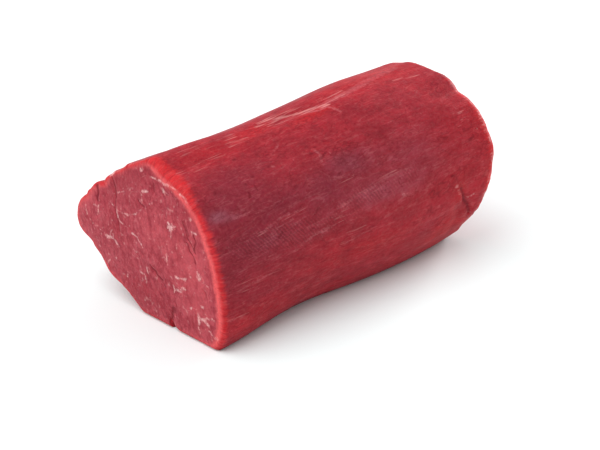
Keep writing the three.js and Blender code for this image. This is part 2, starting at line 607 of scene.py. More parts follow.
@dataclass(frozen=True)
class Outside:
    """The trimmed outside of the muscle: long fibre bundles, scratches, pale membrane with painted
    sheen, and patches, some of them painted light.
    """

    bundles: Ripple = Ripple(60.0, 6.0, 0.26, 21)
    strands: Ripple = Ripple(30.0, 2.8, 0.08, 22)
    dents: Ripple = Ripple(22.0, 22.0, 0.45, 23)
    fray: Ripple = Ripple(5.0, 2.2, 0.22, 24)
    fray_reach: float = 4.5
    wander: Ripple = Ripple(35.0, 30.0, 3.0, 11, 8)
    groove_depth: float = 1.0
    lip_height: float = 0.5
    fleck_height: float = 0.12
    grooves: tuple[Stroke, ...] = (
        on_side(0.5, -0.6, (47, 100), (60, 101), (70, 104), (79, 106.5), (88, 107.5)),
        on_side(0.7, 1.0, (124.5, 178), (128, 184), (131.5, 190), (134.5, 197)),
    )
    lips: tuple[Stroke, ...] = (
        on_side(0.9, 1.0, (118, 170), (121, 176), (125, 183), (128, 190), (131, 197)),
        on_side(1.2, -0.6, (62, 109), (70, 111), (79, 112)),
    )
    # Pale silver skin membrane, with painted sheen: the streaks along the top ridge and the bright
    # lines round the far rim are painted highlights.
    film: tuple[Stroke, ...] = (
        on_side(0.6, 4.0, (52, 98.5), (57, 99.5), (63.5, 102.5), (72, 105.5), (79, 108), (82, 111)),
        on_side(0.6, 2.4, (50, 102), (58.6, 105.5), (66, 106), (70.5, 108)),
        on_side(0.8, 3.0, (70, 107), (75, 109.5), (80, 111)),
        on_side(2.6, 1.4, (58, 100.5), (67, 103), (76, 105), (92, 105)),
        on_side(0.9, 1.8, (1.4, 43), (1, 51), (1.5, 61), (1.8, 72)),
        on_side(0.2, 0.8, (79, 111), (82, 115), (84, 120)),
        on_side(0.8, 0.6, (118, 112), (124, 114), (130, 114), (136, 110)),
        on_side(1.8, 0.6, (5, 114.2), (16.4, 114.8), (25, 113.5)),
        on_side(2.2, 0.7, (12, 101), (25.6, 102.2), (36, 101.5)),
        on_side(2.0, 0.6, (33, 108), (36.3, 106.5), (40, 108)),
        on_side(1.6, 0.2, (56, 154), (62, 153), (70, 154)),
        on_side(1.4, 0.4, (82, 158), (89.8, 160)),
        on_side(1.4, 0.2, (22, 167), (36, 163.5), (44, 162)),
        on_side(1.8, 0.2, (62, 167), (74, 164.5), (90, 161)),
        on_side(1.4, 0.1, (40, 178), (50, 175.5), (60, 172)),
        on_side(1.0, 0.1, (2, 203), (12, 203.5)),
        on_side(1.2, 0.2, (8, 190), (28, 188)),
        on_side(1.6, 0.2, (60, 184), (72, 182)),
        on_side(0.5, 1.4, (120.3, 174.5), (123, 180), (126, 185)),
        on_side(0.5, 1.2, (130.4, 144), (134, 142)),
        on_side(0.4, 0.8, (127, 149), (130, 147)),
        on_side(0.5, 1.4, (139.6, 116), (139.8, 128), (139.6, 140)),
        on_side(0.5, 1.6, (139.4, 150), (139.2, 165), (138.8, 180)),
        on_side(0.5, 1.4, (138.6, 184), (138.2, 196), (137.8, 207)),
    )
    flecks: tuple[Stroke, ...] = (
        on_side(0.2, 0.7, (130.4, 186), (132.9, 183.2)),
        on_side(0.15, 0.6, (115, 153.8)),
        on_side(0.1, 0.4, (126.6, 164.5)),
        on_side(0.1, 0.4, (91, 170.8), (93, 171.2)),
        on_side(0.3, 0.4, (135.5, 152.8)),
        on_side(0.8, 0.9, (0.8, 45.5), (1.4, 48), (1.2, 50.5)),
        on_side(0.6, 0.7, (0.8, 232.5), (1.2, 234.5)),
        on_side(0.2, 0.4, (139.4, 140.5), (139.8, 143)),
        on_side(0.3, 0.8, (139.6, 146.5), (139.2, 149)),
        on_side(0.2, 0.6, (139.8, 152), (139.6, 155)),
        on_side(0.3, 0.5, (139.2, 157.5), (139.6, 160)),
        on_side(0.25, 0.6, (139, 165), (139.4, 168.5)),
        on_side(0.2, 0.5, (138.6, 176), (139, 178)),
        on_side(0.25, 0.6, (138.4, 184), (138.8, 187)),
    )
    scratches: tuple[Stroke, ...] = (
        on_side(1.5, 0.6, (82, 108.6), (92, 108.4), (100, 107), (110, 104.5), (130, 100.5)),
        on_side(0.4, 1.2, (72, 110), (76, 113), (80.5, 112.5), (82.5, 119)),
        on_side(0.4, 1.2, (60.4, 134), (61.6, 137), (60.4, 141)),
        on_side(0.3, 1.2, (39.5, 133.2), (40.2, 134)),
        on_side(0.3, 1.2, (49.5, 134.8)),
        on_side(0.2, 1.0, (45, 125), (49, 122.5)),
        on_side(0.3, 1.4, (65.9, 138.8)),
        on_side(0.1, 0.5, (2, 168), (16, 166.5), (24, 164.5), (36, 161.5), (46, 160.5)),
        on_side(0.25, 1.0, (22, 165), (28, 164.2)),
        on_side(0.3, 1.0, (31, 162.3), (37, 161.3)),
        on_side(0.1, 0.6, (26, 168.2), (38, 164.5)),
        on_side(0.1, 0.5, (55, 168), (66, 165), (76, 163), (84, 161), (100, 159)),
        on_side(0.3, 0.8, (60, 167), (66, 165.5)),
        on_side(0.3, 0.8, (73, 163.7), (79, 162.5)),
        on_side(0.3, 0.8, (84, 160.3), (88, 160)),
        on_side(0.2, 0.9, (42, 178), (50, 175), (54, 173.5)),
        on_side(0.2, 0.8, (50, 176.5), (57, 174)),
        on_side(0.1, 0.6, (5, 180), (16, 180.5), (28, 178.5)),
        on_side(0.15, 0.5, (58, 187), (70, 184), (78, 182.5)),
        on_side(0.2, 0.6, (92, 170.5), (96, 171.5)),
        on_side(0.15, 0.4, (57, 145), (60, 150), (68, 153)),
        on_side(0.3, 0.5, (2, 203), (10, 203.5)),
        on_side(0.2, 0.4, (10, 190), (28, 188)),
        on_side(0.15, 0.4, (20, 155), (34, 153), (48, 154)),
        on_side(0.2, 0.5, (13, 153), (22, 152.5)),
    )
    # Small pits, painted dark red as the shade in them.
    pits: tuple[Stroke, ...] = (
        on_side(0.45, 1.0, (22.9, 145.2), (23.4, 143.2)),
        on_side(0.35, 0.8, (27.4, 142.4), (27.7, 140)),
        on_side(0.3, 0.8, (28.6, 134.8), (29.8, 135.2)),
        on_side(0.3, 0.8, (29.4, 171), (31.4, 169)),
        on_side(0.3, 0.8, (44.2, 173), (46.4, 172.4)),
        on_side(0.35, 0.8, (48.4, 165.4), (50.6, 163.2)),
        on_side(0.35, 0.8, (60.4, 139.9), (64.4, 137.5)),
        on_side(0.3, 0.7, (57.6, 134.8), (59, 134.8)),
        on_side(0.25, 0.7, (60.8, 132.2), (62.2, 132.4)),
        on_side(0.3, 0.7, (64, 150.3), (65.4, 149.8)),
        on_side(0.1, 0.3, (73.6, 169.2), (75.4, 168.8)),
        on_side(0.3, 0.8, (117.2, 169.8), (118.8, 169.5)),
        on_side(0.3, 0.7, (27.4, 119.8), (28.8, 119.8)),
        on_side(0.4, 1.0, (10, 137), (10.5, 136)),
        on_side(0.5, 0.8, (24.5, 138)),
        on_side(0.2, 0.5, (6, 133)),
        on_side(0.25, 0.4, (19, 151)),
        on_side(0.5, 0.7, (124.8, 179), (128.3, 185), (131.8, 191), (134.5, 197)),
        on_side(0.3, 0.6, (130, 157), (133, 155.5)),
        on_side(0.3, 0.3, (130, 124), (134, 122)),
    )
    hatch: tuple[Patch, ...] = (
        Patch(26, 170, 8, 5, 1),
        Patch(12, 170, 6, 5, 0.6),
        Patch(40, 172, 8, 6, 0.8),
        Patch(76, 165, 9, 4, 0.8),
        Patch(60, 172, 6, 5, 0.5),
        Patch(96, 163, 6, 4, 0.6),
    )
    haze: tuple[Patch, ...] = (
        Patch(6.5, 149.2, 3.2, 2.4, 0.95),
        Patch(12, 152.5, 3.4, 1.6, 0.6),
        Patch(68, 144, 5, 3, 0.2),
        Patch(74, 148, 5, 3.5, 0.15),
        Patch(30, 172, 16, 6, 0.3),
        Patch(80, 167, 14, 5, 0.4),
        Patch(100, 158, 36, 14, 0.35),
        Patch(82, 208, 18, 6, 0.2),
    )
    dull: tuple[Patch, ...] = (
        Patch(26, 130, 14, 7, 0.5),
        Patch(36, 148, 12, 9, 0.4),
        Patch(20, 168, 20, 20, 0.35),
        Patch(5, 184, 7, 9, 0.5),
        Patch(14, 141, 10, 8, 0.7),
        Patch(20, 146, 9, 5, 0.4),
        # These three darken the top of the far end: painted shade, against the sheen there.
        Patch(129, 126, 16, 11, 0.55),
        Patch(130, 121, 18, 7, 0.4),
        Patch(140, 116, 5, 20, 0.5),
        Patch(7, 150, 6, 7, 0.7),
        Patch(14, 168, 14, 9, 0.6),
        Patch(33, 155, 12, 5, 0.6),
        Patch(56, 155, 8, 8, 0.7),
        Patch(71, 146, 8, 5.5, 0.9),
        Patch(95, 149, 16, 7, 0.3),
        Patch(104, 178, 12, 9, 0.35),
        Patch(79, 181, 9, 4, 0.5),
        Patch(24, 197, 9, 4, 0.4),
        Patch(111, 196, 8, 6, 0.5),
    )
    # Redder, brighter patches: partly the meat's own tone, partly painted light, on the lit top of the
    # far end and as light thrown up from the white floor low on the side.
    vivid: tuple[Patch, ...] = (
        Patch(98, 176, 26, 10, 0.4),
        Patch(126, 124, 14, 13, 0.4),
        Patch(112, 162, 16, 9, 0.2),
        Patch(77, 171, 9, 5, 0.3),
        Patch(124, 156, 10, 12, 0.4),
        Patch(90, 212, 40, 9, 0.3),
        Patch(22, 108, 26, 8, 0.4),
        Patch(72, 113, 8, 3, 0.6),
        Patch(47, 104, 7, 5, 0.4),
        Patch(112, 100, 30, 10, 0.5),
        Patch(16, 207, 16, 6, 0.35),
        Patch(72, 193, 26, 6, 0.4),
        Patch(124, 203, 10, 8, 0.6),
        Patch(137, 158, 4, 20, 0.4),
        Patch(124, 180, 3, 8, 0.5),
    )
    fibre_lean: float = -0.17
    lean_towards: float = 166.0
    lean_spread: float = 14.0
    lean_from: float = 70.0
    back_flecks: BackMarks = BackMarks(12, 3.0, 0.3, 71)
    back_scratches: BackMarks = BackMarks(12, 34.0, 0.2, 72)
    # Pale membrane and painted sheen, on the back and underside too.
    back_film_and_sheen: BackMarks = BackMarks(4, 24.0, 0.6, 73)
    back_dull: BackPatches = BackPatches(12, 81)
    back_vivid: BackPatches = BackPatches(12, 82)

    def fibre_places(self, form: MuscleForm, grid: Grid) -> np.ndarray:
        """Where each place lies on an even round bar whose fibres all run straight.

        The bar's girth is the meat's usual one, and each angle keeps its usual share of it. On the
        shown side the fibres lean, so there the places turn by the lean times the way along, under
        a smooth hill. Patterns that are laid along the bar follow the fibres.

        Args:
            form: the meat's form.
            grid: the smooth surface.

        Returns:
            Points on the bar, in metres.
        """
        x = grid.along * form.length
        lean = self.fibre_lean * hill(turn(grid.angle, self.lean_towards), self.lean_spread)
        bearing = np.radians(grid.girth.mean(0) * 360.0 - lean * (x - self.lean_from))
        radius = GIRTH_MM / (2.0 * math.pi)
        return np.stack([x, radius * np.cos(bearing), radius * np.sin(bearing)], -1) * MM

    def height(self, form: MuscleForm, grid: Grid) -> np.ndarray:
        """The relief of the outside, in millimetres.

        Bundles and strands are long ripples along the meat, on a girth that wanders, and dents are
        broad ones. Near the cuts the ends of the fibres fray, by fine ripples that die away from
        the edge. Grooves sink and lips and flecks stand up along their strokes.

        Args:
            form: the meat's form.
            grid: the smooth surface.

        Returns:
            The height of each point above the smooth surface.
        """
        x = grid.along * form.length
        girth = grid.girth + self.wander.over(x, grid.girth) / GIRTH_MM
        height = sum(ripple.over(x, girth) for ripple in (self.bundles, self.strands, self.dents))
        nearest = np.minimum(np.maximum(grid.near_gap, 0.0), np.maximum(grid.far_gap, 0.0))
        height += self.fray.over(x, girth) * np.exp(-nearest / self.fray_reach)
        angle_mm = grid.angle * MM_PER_DEGREE
        height -= self.groove_depth * closest(self.grooves, x, angle_mm) ** 2
        height += self.lip_height * closest(self.lips, x, angle_mm)
        height += self.fleck_height * closest(self.flecks, x, angle_mm)
        return height


@dataclass(frozen=True)
class Star:
    """A star of fat on a cut: a blot with short rays out from it, long and short by turns."""

    across: float
    up: float
    reach: float
    blot_share: float = 0.3
    blot_strength: float = 1.5
    rays: int = 7
    first_ray: float = 0.25
    short_ray: float = 0.6
    flatness: float = 0.7
    ray_half_width: float = 0.2

    def strokes(self) -> list[Stroke]:
        """The blot and the rays, which are flatter up the cut than across it.

        Returns:
            Their strokes, in millimetres across and up.
        """
        middle = (self.across, self.up)
        made = [Stroke((middle,), self.reach * self.blot_share, self.blot_strength)]
        for ray in range(self.rays):
            bearing = math.tau * (ray + self.first_ray) / self.rays
            length = self.reach * (1.0 if ray % 2 else self.short_ray)
            rise = length * math.sin(bearing) * self.flatness
            tip = (self.across + length * math.cos(bearing), self.up + rise)
            made.append(Stroke((middle, tip), self.ray_half_width))
        return made


GOLDEN_TURN = math.tau * (3.0 - math.sqrt(5.0)) / 2.0


@dataclass(frozen=True)
class SownMarks:
    """Marks all over the far cut, which is finished like the near one.

    Each wanders a few steps from its start, or is a dot where it takes none. The starts lie evenly
    over the cut, as the seeds of a sunflower do, with each a golden turn round from the last. The
    heading and the turns, as shares of a step, the half width and the strength are drawn with a
    seed, each from its range.
    """

    count: int
    steps: int
    step_mm: float
    seed: int
    middle: tuple[float, float] = (26.0, 36.0)
    reach: float = 33.0
    headings: Range = (-1.0, 1.0)
    turns: Range = (-0.4, 0.4)
    half_widths: Range = (0.1, 0.3)
    strengths: Range = (0.2, 1.0)

    def strokes(self) -> list[Stroke]:
        """Draws the marks.

        Returns:
            Their strokes, in millimetres across and up.
        """
        draw = np.random.default_rng(self.seed)
        made = []
        for number in range(self.count):
            towards = self.seed + number * GOLDEN_TURN
            reach = self.reach * math.sqrt((number + draw.uniform()) / self.count)
            start = np.array(self.middle) + reach * np.array((math.cos(towards), math.sin(towards)))
            heading = draw.uniform(*self.headings, 2) * self.step_mm
            turns = draw.uniform(*self.turns, (self.steps, 2)) * self.step_mm
            points = np.concatenate([start[None], start + np.cumsum(heading + turns, 0)])
            half_width, strength = draw.uniform(*self.half_widths), draw.uniform(*self.strengths)
            made.append(Stroke(tuple(map(tuple, points)), half_width, strength))
        return made


@dataclass(frozen=True)
class CutFace:
    """A flat cut across the fibres: grain, creases where bundles part, and marbling."""

    grain_width: float = 1.5
    grain_length: float = 3.4
    grain_height: float = 0.07
    grain_cells: tuple[int, int] = (256, 256)
    lump_size: float = 9.0
    lump_height: float = 0.28
    lump_cells: tuple[int, int] = (32, 32)
    near_seed: int = 41
    far_seed: int = 51
    crease_depth: float = 0.45
    flecks: tuple[Stroke, ...] = (
        on_cut(0.1, 0.4, (77.5, 38), (77, 33.5), (75, 32), (71.5, 30.5)),
        on_cut(0.1, 0.2, (71.5, 30.5), (67.5, 29.5), (64, 28)),
        on_cut(0.4, 1.1, (65, 28), (62.5, 29), (60, 29)),
        on_cut(0.15, 0.5, (60, 29), (57, 26.5)),
        on_cut(0.35, 1.0, (69.5, 40)),
        on_cut(0.1, 0.3, (73, 39), (67, 41)),
        on_cut(0.15, 0.5, (69.5, 39), (70, 36.5)),
        on_cut(0.1, 0.4, (62, 45), (60.5, 43.5), (57, 42)),
        on_cut(0.15, 0.6, (57, 42), (56.5, 38.5), (53.5, 37)),
        on_cut(0.2, 0.6, (53.5, 37), (50, 36.5)),
        on_cut(0.1, 0.1, (57, 42), (52.5, 42.5), (50, 42.5)),
        on_cut(0.35, 0.9, (50, 42.5)),
        on_cut(0.1, 0.1, (50, 42.5), (45.5, 44), (43.5, 46.5), (40, 48.5)),
        on_cut(0.35, 1.0, (41.5, 55), (38, 56)),
        on_cut(0.15, 0.5, (42, 54.5), (41.5, 52), (42.5, 50)),
        on_cut(0.15, 0.6, (56.5, 49.5), (53, 51)),
        on_cut(0.1, 0.3, (53, 53), (54.5, 50.5)),
        on_cut(0.15, 0.4, (37, 51.5), (35, 53)),
        on_cut(0.5, 1.1, (42, 63.5)),
        on_cut(0.3, 0.5, (37.5, 62.5), (33, 62.5), (29, 62)),
        on_cut(0.3, 0.3, (29, 62), (25.5, 62), (22.5, 61.5)),
        on_cut(0.25, 0.7, (20.5, 60), (17, 59), (16.5, 57.5)),
        on_cut(0.7, 0.2, (29.5, 59.5), (27, 58)),
        on_cut(0.35, 1.0, (47.5, 35.5), (45, 34.5)),
        on_cut(0.1, 0.4, (45, 34.5), (42, 32), (40.5, 30.5)),
        on_cut(0.2, 0.5, (71.5, 26), (70.5, 24)),
        on_cut(0.1, 0.4, (60.5, 33), (61.5, 29.5)),
        on_cut(0.2, 0.7, (24.5, 44), (24.5, 41)),
        on_cut(0.2, 0.6, (15, 52), (14.5, 51)),
        on_cut(0.2, 0.6, (14, 46.5), (11, 46.5)),
        on_cut(0.2, 0.6, (34, 44.5)),
        on_cut(0.25, 0.7, (27, 37.5)),
        on_cut(0.25, 0.7, (22, 37.5)),
        on_cut(0.1, 0.5, (27, 32.5), (27, 28.5)),
        on_cut(0.2, 0.5, (19, 34.5)),
        on_cut(0.3, 0.6, (24, 30)),
        on_cut(0.25, 0.7, (59, 20.5)),
        on_cut(0.35, 0.9, (49.5, 23.5)),
        on_cut(0.25, 0.7, (63.5, 17.5), (65, 16)),
        on_cut(0.2, 0.7, (44, 20), (41, 19), (40.5, 16.5)),
        on_cut(0.35, 0.9, (41, 18), (40.5, 17)),
        on_cut(0.15, 0.5, (39.5, 23), (38.5, 20.5)),
        on_cut(0.15, 0.5, (52, 16.5), (52.5, 14)),
        on_cut(0.25, 0.9, (22.5, 25), (20, 25), (17, 25.5)),
        on_cut(0.4, 1.0, (14, 28)),
        on_cut(0.25, 0.8, (6.5, 27), (5.5, 26.5)),
        on_cut(0.15, 0.6, (24, 20.5), (23.5, 18)),
        on_cut(0.3, 0.9, (23.5, 19), (20, 20), (17.5, 21.5)),
        on_cut(0.4, 0.8, (14.5, 14.5)),
        on_cut(0.45, 1.1, (8.5, 17), (7.5, 17)),
        on_cut(0.4, 1.2, (10.5, 13), (10, 11.5), (10, 8.5)),
        on_cut(0.2, 0.8, (10, 8.5), (10, 5.5)),
        on_cut(0.3, 1.1, (9.5, 12.5), (7.5, 11.5), (4.5, 10)),
        on_cut(0.25, 0.8, (7, 12), (4.5, 13)),
        on_cut(0.25, 0.8, (2, 13.5)),
        on_cut(0.3, 0.9, (4.5, 7.5), (2.5, 6.5), (0.5, 6)),
        on_cut(0.2, 0.6, (2.5, 6.5), (3.5, 4.5)),
    )
    stars: tuple[Star, ...] = (Star(25.0, 45.6, 2.6), Star(10.0, 29.5, 1.9))
    creases: tuple[Stroke, ...] = (
        on_cut(0.15, 0.6, (59, 52), (58, 47.5), (58, 42.5), (57, 39.5), (55.5, 33.5)),
        on_cut(0.4, 0.9, (70.5, 49), (69.5, 45.5), (70, 42.5)),
        on_cut(0.25, 0.7, (60.5, 54.5), (59, 51.5)),
        on_cut(0.2, 0.7, (43.5, 50), (40, 48.5)),
        on_cut(0.25, 0.6, (35.5, 59.5), (34.5, 57)),
        on_cut(0.3, 0.9, (36.5, 24), (33.5, 22.5), (30.5, 20.5)),
        on_cut(0.1, 0.4, (33.4, 21.2), (29, 17.9)),
        on_cut(0.15, 0.8, (19, 49.5), (17, 46.5), (16, 43.5), (13.5, 40.5), (11.5, 38.5)),
        on_cut(0.25, 0.9, (13, 45.5), (12, 43.5), (12, 39)),
        on_cut(0.2, 0.7, (16.5, 41), (13.5, 37), (11.5, 34.5)),
        on_cut(0.15, 0.5, (18.1, 50.5), (15.4, 44.5)),
        on_cut(0.8, 0.9, (25, 10), (26, 7), (27, 2.5)),
        on_cut(0.2, 0.4, (22.8, 12.6), (24, 8.5)),
        on_cut(0.15, 0.5, (7, 24.5), (5.4, 21.5)),
    )
    pale: tuple[Patch, ...] = (
        Patch(13, 32, 8, 13, 0.6),
        Patch(8, 12, 8, 8, 0.4),
        Patch(34, 40, 10, 10, 0.4),
        Patch(77, 44, 5, 8, 0.6),
    )
    dusky: tuple[Patch, ...] = (
        Patch(60, 60, 14, 9, 0.7),
        Patch(44, 10, 12, 8, 0.5),
        Patch(58, 34, 6, 8, 0.4),
        Patch(14, 56, 8, 6, 0.5),
        Patch(32, 66, 14, 4, 0.6),
    )
    far_lines: SownMarks = SownMarks(44, 3, 2.2, 31)
    far_dots: SownMarks = SownMarks(30, 0, 0.0, 32)
    far_creases: SownMarks = SownMarks(12, 2, 3.5, 33)

    def marbling(self, cut: Cut) -> list[Stroke]:
        """The white flecks of a cut: the near cut's as they lie, the far cut's sown.

        Args:
            cut: which cut.

        Returns:
            The strokes, in millimetres across and up.
        """
        if cut is Cut.FAR:
            return self.far_lines.strokes() + self.far_dots.strokes()
        return [*self.flecks, *(stroke for star in self.stars for stroke in star.strokes())]

    def folds(self, cut: Cut) -> list[Stroke]:
        """The creases of a cut, painted dark as the shade in them: the near cut's as they lie, the far
        cut's sown.
        """
        return self.far_creases.strokes() if cut is Cut.FAR else list(self.creases)

    def height(self, grid: Grid, cut: Cut) -> np.ndarray:
        """The relief of a cut, in millimetres: grain and lumps of noise, less its creases.

        Args:
            grid: the smooth surface.
            cut: which cut.

        Returns:
            The height of each point above the smooth surface, as if all of it were this cut.
        """
        across, up = grid.points[..., 1], grid.points[..., 2]
        seed = self.far_seed if cut is Cut.FAR else self.near_seed
        grain = lattice_noise(across / self.grain_width, up / self.grain_length, self.grain_cells, seed)
        lumps = lattice_noise(across / self.lump_size, up / self.lump_size, self.lump_cells, seed + 1)
        height = self.grain_height * grain + self.lump_height * lumps
        return height - self.crease_depth * closest(self.folds(cut), across, up, ON_CUTS)


Tree = bpy.types.NodeTree
Socket = bpy.types.NodeSocket
Sources = dict[str, Socket]
Colour = tuple[float, float, float, float]
COLOUR_BELOW, COLOUR_ABOVE, COLOUR_OUT = 6, 7, 2  # the mix node's sockets for colours
NUMBER_BELOW, NUMBER_ABOVE = 2, 3  # and for numbers


def linear(code: str) -> Colour:
    """Turns an sRGB hex colour to a linear one.

    It follows the sRGB curve: a straight line near black, and a power of 2.4 above.

    Args:
        code: the colour, as # and six hex digits.

    Returns:
        Its linear red, green, blue and alpha.
    """
    shares = (int(code[i : i + 2], 16) / 255.0 for i in (1, 3, 5))
    red, green, blue = (c / 12.92 if c <= 0.04045 else ((c + 0.055) / 1.055) ** 2.4 for c in shares)
    return red, green, blue, 1.0


def add_node(
    tree: Tree, kind: str, inputs: dict[str | int, object] | None = None, **settings: object
) -> bpy.types.Node:
    """Adds a shader node, with its settings, and its sockets set or linked.

    Args:
        tree: the material's node tree.
        kind: the node's type, without the words ShaderNode before it.
        inputs: what each input socket, by name or number, holds: a value, or a socket to link.
        settings: the node's own properties.

    Returns:
        The new node.
    """
    node = tree.nodes.new("ShaderNode" + kind)
    for name, value in settings.items():
        setattr(node, name, value)
    for key, value in (inputs or {}).items():
        if isinstance(value, Socket):
            tree.links.new(value, node.inputs[key])
        else:
            node.inputs[key].default_value = value
    return node


MIDDLE = 0.5  # the value that a noise pattern lies around
USUAL = (0.25, 0.75)  # the values that it mostly keeps between


@dataclass(frozen=True)
class Pattern:
    """A noise pattern with cells of a real size in millimetres, given along X, Y and Z.

    The cells may lean, by degrees about X.
    """

    cells: tuple[float, float, float]
    detail: float = 2.0
    roughness: float = 0.55
    lean: float = 0.0

    def build(self, tree: Tree, place: Socket) -> Socket:
        """Adds the pattern to a material.

        Args:
            tree: the material's node tree.
            place: the places that the pattern is laid on, in metres.

        Returns:
            The pattern's value, which lies around one half.
        """
        inputs = {
            "Vector": place,
            "Rotation": (math.radians(self.lean), 0.0, 0.0),
            "Scale": tuple(size * MM for size in self.cells),
        }
        scaled = add_node(tree, "Mapping", inputs, vector_type="TEXTURE")
        inputs = {
            "Vector": scaled.outputs[0],
            "Scale": 1.0,
            "Detail": self.detail,
            "Roughness": self.roughness,
        }
        return add_node(tree, "TexNoise", inputs).outputs[0]


@dataclass(frozen=True)
class Sinews:
    """Thin lines that wind along the meat, as the fibres of a thin skin do.

    They run where a noise pattern passes through its middle value.
    """

    pattern: Pattern
    thickness: float

    def build(self, tree: Tree, place: Socket) -> Socket:
        """Adds the lines to a material.

        Args:
            tree: the material's node tree.
            place: the places that the lines are laid on, in metres.

        Returns:
            The lines' value: 1 in the middle of a line, falling evenly to 0 at its sides, where
            the pattern is the thickness away from one half.
        """
        value = self.pattern.build(tree, place)
        off = add_node(tree, "Math", {0: value, 1: -MIDDLE}, operation="ADD").outputs[0]
        off = add_node(tree, "Math", {0: off}, operation="ABSOLUTE").outputs[0]
        inputs = {"Value": off, "From Max": self.thickness, "To Min": 1.0, "To Max": 0.0}
        return add_node(tree, "MapRange", inputs).outputs[0]


WAVE_NODE_RADIANS = 20.0  # how far the wave node's sine goes in one unit


@dataclass(frozen=True)
class Ribs:
    """Fine regular ribs across the fibres, a little wavering.

    Their pitch is in millimetres, and they lean by degrees about Y.
    """

    pitch: float
    lean: float
    waver: float = 4.0
    waver_size: float = 1.4
    waver_detail: float = 2.0

    def build(self, tree: Tree, place: Socket) -> Socket:
        """Adds the ribs to a material.

        Args:
            tree: the material's node tree.
            place: the places that the ribs are laid on, in metres.

        Returns:
            The ribs' value: a sine wave from 0 to 1, with one wave to a pitch.
        """
        inputs = {
            "Vector": place,
            "Rotation": (0.0, math.radians(self.lean), 0.0),
            "Scale": (self.pitch * MM,) * 3,
        }
        scaled = add_node(tree, "Mapping", inputs, vector_type="TEXTURE")
        inputs = {
            "Vector": scaled.outputs[0],
            "Scale": math.tau / WAVE_NODE_RADIANS,
            "Distortion": self.waver,
            "Detail": self.waver_detail,
            "Detail Scale": self.waver_size,
        }
        return add_node(tree, "TexWave", inputs, wave_type="BANDS", bands_direction="X").outputs["Fac"]


@dataclass(frozen=True)
class Web:
    """Thin wavering lines between cells, as fat lies between bundles of fibres."""

    cells: tuple[float, float, float]
    waver: float = 0.5
    waver_scale: float = 1.5
    waver_detail: float = 2.0
    thickness: float = 0.07

    def build(self, tree: Tree, place: Socket) -> Socket:
        """Adds the web to a material.

        Args:
            tree: the material's node tree.
            place: the places that the web is laid on, in metres.

        Returns:
            The web's value: 1 on its lines, falling evenly to 0 at their thickness in cells.
        """
        scale = tuple(size * MM for size in self.cells)
        scaled = add_node(tree, "Mapping", {"Vector": place, "Scale": scale}, vector_type="TEXTURE")
        inputs = {
            "Vector": scaled.outputs[0],
            "Scale": self.waver_scale,
            "Detail": self.waver_detail,
        }
        bent = add_node(tree, "TexNoise", inputs).outputs["Color"]
        inputs = {0: bent, 1: (self.waver,) * 3, 2: scaled.outputs[0]}
        moved = add_node(tree, "VectorMath", inputs, operation="MULTIPLY_ADD").outputs[0]
        inputs = {"Vector": moved, "Scale": 1.0}
        cells = add_node(tree, "TexVoronoi", inputs, feature="DISTANCE_TO_EDGE")
        inputs = {
            "Value": cells.outputs["Distance"],
            "From Max": self.thickness,
            "To Min": 1.0,
            "To Max": 0.0,
        }
        return add_node(tree, "MapRange", inputs).outputs[0]


@dataclass(frozen=True)
class Fray:
    """How a mark's edge frays.

    The sway is how far a noise pattern moves the mark's closeness, from its lowest to its highest.
    The mark starts at one closeness and is whole at another, where it has its greatest share.
    """

    sway: float
    start: float
    whole: float
    most: float = 1.0

    def share(self, tree: Tree, closeness: Socket, pattern: Socket) -> Socket:
        """Where the mark shows: its closeness, swayed by the pattern and ramped smoothly.

        Args:
            tree: the material's node tree.
            closeness: how close a place is to the mark.
            pattern: the noise that frays its edge.

        Returns:
            The mark's share, from 0 to the most.
        """
        inputs = {0: pattern, 1: self.sway, 2: closeness}
        swayed = add_node(tree, "Math", inputs, operation="MULTIPLY_ADD").outputs[0]
        inputs = {
            "Value": swayed,
            "From Min": self.start + MIDDLE * self.sway,
            "From Max": self.whole + MIDDLE * self.sway,
            "To Max": self.most,
        }
        return add_node(tree, "MapRange", inputs, interpolation_type="SMOOTHSTEP").outputs[0]


@dataclass(frozen=True)
class Layer:
    """A colour that lies over another where a mark shows, as an sRGB hex code."""

    colour: str
    fray: Fray


def laid_over(tree: Tree, colour: Socket | Colour, *rows: tuple[Layer, Socket, Socket]) -> Socket:
    """Lays layers over a colour in order.

    Args:
        tree: the material's node tree.
        colour: what lies below.
        rows: each layer, the closeness of its mark, and the pattern that frays it.

    Returns:
        The mixed colour.
    """
    for layer, closeness, pattern in rows:
        share = layer.fray.share(tree, closeness, pattern)
        inputs = {"Factor": share, COLOUR_BELOW: colour, COLOUR_ABOVE: linear(layer.colour)}
        colour = add_node(tree, "Mix", inputs, data_type="RGBA").outputs[COLOUR_OUT]
    return colour


def shaded(tree: Tree, colour: Socket, *rows: tuple[Socket, float]) -> Socket:
    """Darkens and lightens a colour by patterns in order.

    Each multiplies the colour by a factor that runs from 1 - 2 depth to 1 + 2 depth over the
    values that a pattern mostly keeps between.

    Args:
        tree: the material's node tree.
        colour: the colour.
        rows: each pattern and its depth, which is how strong its shading is.

    Returns:
        The shaded colour.
    """
    for pattern, depth in rows:
        inputs = {
            "Value": pattern,
            "From Min": USUAL[0],
            "From Max": USUAL[1],
            "To Min": 1.0 - 2.0 * depth,
            "To Max": 1.0 + 2.0 * depth,
        }
        factor = add_node(tree, "MapRange", inputs).outputs[0]
        inputs = {0: colour, "Scale": factor}
        colour = add_node(tree, "VectorMath", inputs, operation="SCALE").outputs[0]
    return colour


FAT_WHITE = "#e6b9b6"
# pale pink of the silver skin membrane, also used for painted sheen and glints
FILM_AND_SHEEN_WHITE = "#e29a97"
# dark red painted into creases, pits and wrinkles: painted shade
CREASE_SHADE_RED = "#6d1822"
MASKS = "edge flush blush fat crease film scratch dull vivid haze hatch pale dusky".split()
ALONG_FIBRES = "bundles strands threads clouds blotches veil teeth sinews wrinkles ribs".split()
LAID_EVENLY = "speckle grain mottle beads specks web".split()


